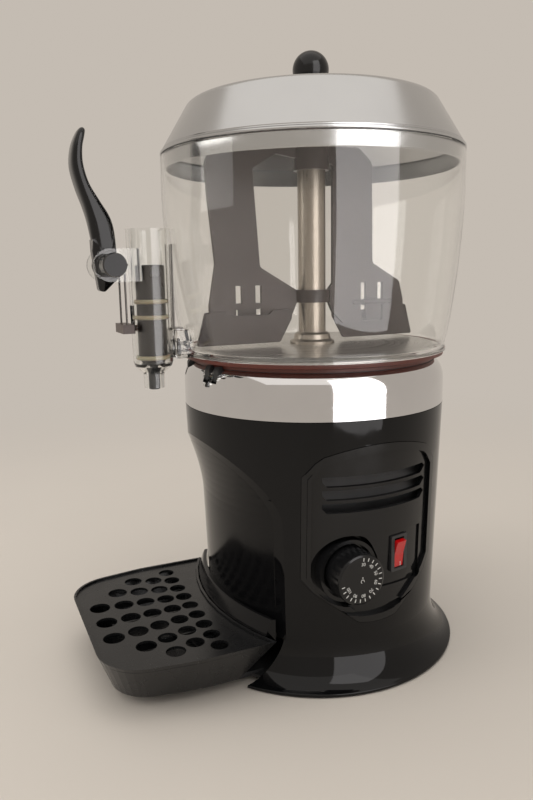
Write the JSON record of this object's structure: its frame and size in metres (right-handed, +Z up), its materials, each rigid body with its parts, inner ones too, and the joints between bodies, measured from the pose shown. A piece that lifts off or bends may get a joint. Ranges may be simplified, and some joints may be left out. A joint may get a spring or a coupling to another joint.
{
  "type": "hot chocolate dispenser",
  "caption": "Hot chocolate dispenser with a black base, drip tray, clear bowl with stirrer and lever tap, and a domed steel lid",
  "frame": {"origin": "on the machine's vertical axis at table height", "axes": "+Z up, -Y towards the tap and the drip tray, +X towards the control panel"},
  "size_m": [0.286, 0.3825, 0.5712],
  "materials": {
    "body_gloss": "polished black moulding",
    "panel_satin": "fine satin black moulding",
    "dark_polymer": "satin black moulding",
    "lever_gloss": "glossy black moulding",
    "rubber_black": "moulded rubber",
    "ring_chrome": "bright chrome plate",
    "lid_steel": "fine spun satin",
    "dish_steel": "pressed stainless",
    "column_steel": "brushed along the length",
    "cast_grey": "plain grey metal",
    "bowl_clear": "clear polycarbonate",
    "tap_clear": "clear polycarbonate",
    "stirrer_brown": "smooth brown-grey moulding",
    "collar_brown": "dark brown moulding",
    "bush_ivory": "plain ivory bearing plastic",
    "seal_red": "red silicone",
    "seal_cream": "cream silicone",
    "rocker_red": "glossy red moulding"
  },
  "bodies": {
    "machine": {"base_plate": "dark_polymer", "rubber_feet": "rubber_black", "foot_skirt": "body_gloss", "body_shell": "body_gloss", "recess_panel": "body_gloss", "chrome_ring": "ring_chrome", "bowl_lugs": "dark_polymer", "control_panel": "panel_satin", "dial_bezel": "panel_satin", "thermostat": "cast_grey", "switch_housing": "dark_polymer", "cable_gland": "rubber_black", "top_carrier": "dark_polymer", "bowl_seal": "seal_red", "heating_dish": "dish_steel", "heater_element": "cast_grey", "column": "column_steel", "column_bushes": "bush_ivory", "motor_bracket": "dish_steel", "gear_motor": "cast_grey", "base_screws": "column_steel"},
    "dial": {"thermostat_dial": "panel_satin"},
    "rocker": {"switch_rocker": "rocker_red"},
    "stirrer_set": {"drive_shaft": "column_steel", "stirrer": "stirrer_brown", "stirrer_collar": "collar_brown", "scraper_pins": "stirrer_brown"},
    "front_scraper": {"scraper_front": "stirrer_brown"},
    "rear_scraper": {"scraper_rear": "stirrer_brown"},
    "bowl_set": {"bowl": "bowl_clear", "tap_body": "tap_clear", "tap_inlet_seal": "rubber_black", "tap_retainer": "column_steel", "lever_pin": "column_steel", "pin_knob": "dark_polymer"},
    "lever": {"tap_lever": "lever_gloss"},
    "plunger": {"tap_plunger": "collar_brown", "plunger_seals": "seal_cream", "valve_tip": "rubber_black", "cross_bar": "collar_brown", "link_wires": "column_steel"},
    "lid_set": {"lid": "lid_steel", "lid_knob": "lever_gloss", "knob_screw": "column_steel"},
    "tray": {"drip_tray": "dark_polymer"},
    "grid": {"drip_grid": "dark_polymer"}
  },
  "joints": [
    {"name": "dial_turn", "type": "hinge", "parent": "machine", "child": "dial", "pos_m": [0.14, -0.026, 0.109], "axis": [1, 0, 0], "range_deg": [0, 270]},
    {"name": "rocker_tip", "type": "hinge", "parent": "machine", "child": "rocker", "pos_m": [0.1143, 0.0246, 0.1175], "axis": [-0.2105, 0.9776, 0], "range_deg": [-20, 0]},
    {"name": "stirrer_spin", "type": "hinge", "parent": "machine", "child": "stirrer_set", "pos_m": [0, 0, 0.4], "axis": [0, 0, 1], "continuous": true},
    {"name": "bowl_lift", "type": "slide", "parent": "machine", "child": "bowl_set", "axis": [0, 0, 1], "range_m": [0, 0.2]},
    {"name": "lid_lift", "type": "slide", "parent": "bowl_set", "child": "lid_set", "axis": [0, 0, 1], "range_m": [0, 0.1]},
    {"name": "front_scraper_hinge", "type": "hinge", "parent": "stirrer_set", "child": "front_scraper", "pos_m": [-0.0037, -0.068, 0.338], "axis": [0, -1, 0], "range_deg": [0, 6]},
    {"name": "rear_scraper_hinge", "type": "hinge", "parent": "stirrer_set", "child": "rear_scraper", "pos_m": [0.0037, 0.068, 0.338], "axis": [0, 1, 0], "range_deg": [0, 6]},
    {"name": "tap_lever_hinge", "type": "hinge", "parent": "bowl_set", "child": "lever", "pos_m": [0, -0.2005, 0.378], "axis": [1, 0, 0], "range_deg": [0, 50]},
    {"name": "plunger_slide", "type": "slide", "parent": "bowl_set", "child": "plunger", "axis": [0, 0, 1], "range_m": [0, 0.0105]},
    {"name": "tray_slide", "type": "slide", "parent": "machine", "child": "tray", "axis": [0, -1, 0], "range_m": [0, 0.1]},
    {"name": "grid_lift", "type": "slide", "parent": "tray", "child": "grid", "axis": [0, 0, 1], "range_m": [0, 0.06]}
  ],
  "couplings": [
    {"joint": "plunger_slide", "follows": "tap_lever_hinge", "m_per_rad": 0.012032}
  ]
}
